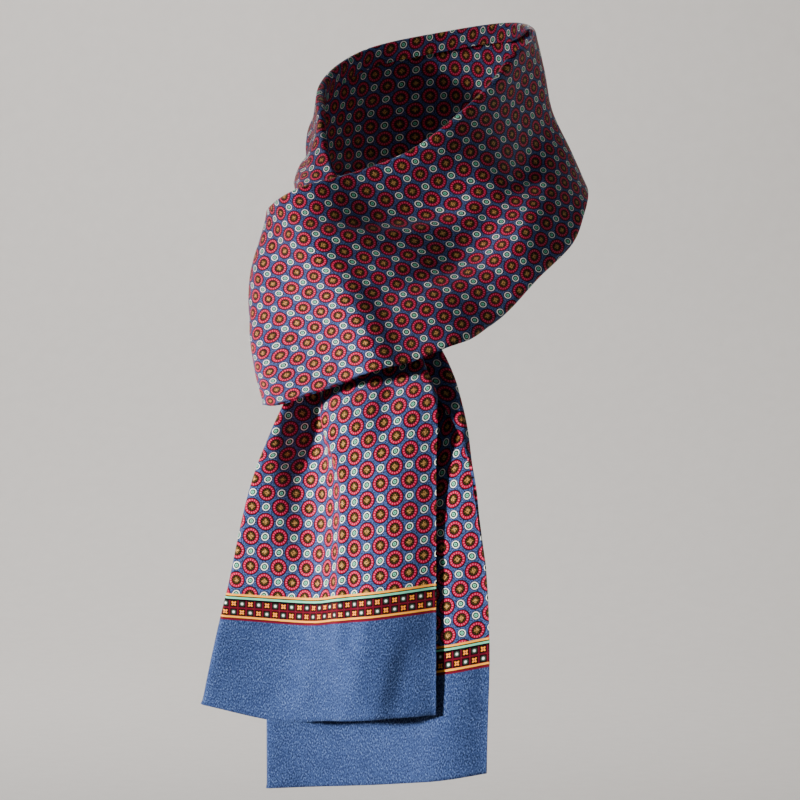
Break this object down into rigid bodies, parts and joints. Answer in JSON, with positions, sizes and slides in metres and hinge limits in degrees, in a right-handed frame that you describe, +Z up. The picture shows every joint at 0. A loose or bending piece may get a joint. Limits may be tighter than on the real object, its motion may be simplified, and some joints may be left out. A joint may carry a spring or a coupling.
{
  "type": "silk scarf worn round a neck",
  "caption": "Narrow printed silk scarf worn wound once round a neck, with a wide slanting front band and its two ends hanging one over the other.",
  "frame": {"origin": "on the axis of the neck that the scarf is worn round, where the neck meets the shoulders", "axes": "+Z up, -Y the way the wearer faces, +X the wearer's left; the scarf's longest extent is along Z"},
  "size_m": [0.202, 0.2208, 0.4354],
  "materials": {
    "front_tail": "printed silk twill",
    "right_side_wrap": "printed silk twill",
    "nape_wrap": "printed silk twill",
    "cross_band": "printed silk twill",
    "turn_behind": "printed silk twill",
    "back_tail": "printed silk twill"
  },
  "bodies": {
    "root": {"front_tail": "front_tail", "right_side_wrap": "right_side_wrap", "nape_wrap": "nape_wrap", "cross_band": "cross_band", "turn_behind": "turn_behind", "back_tail": "back_tail"}
  },
  "joints": []
}
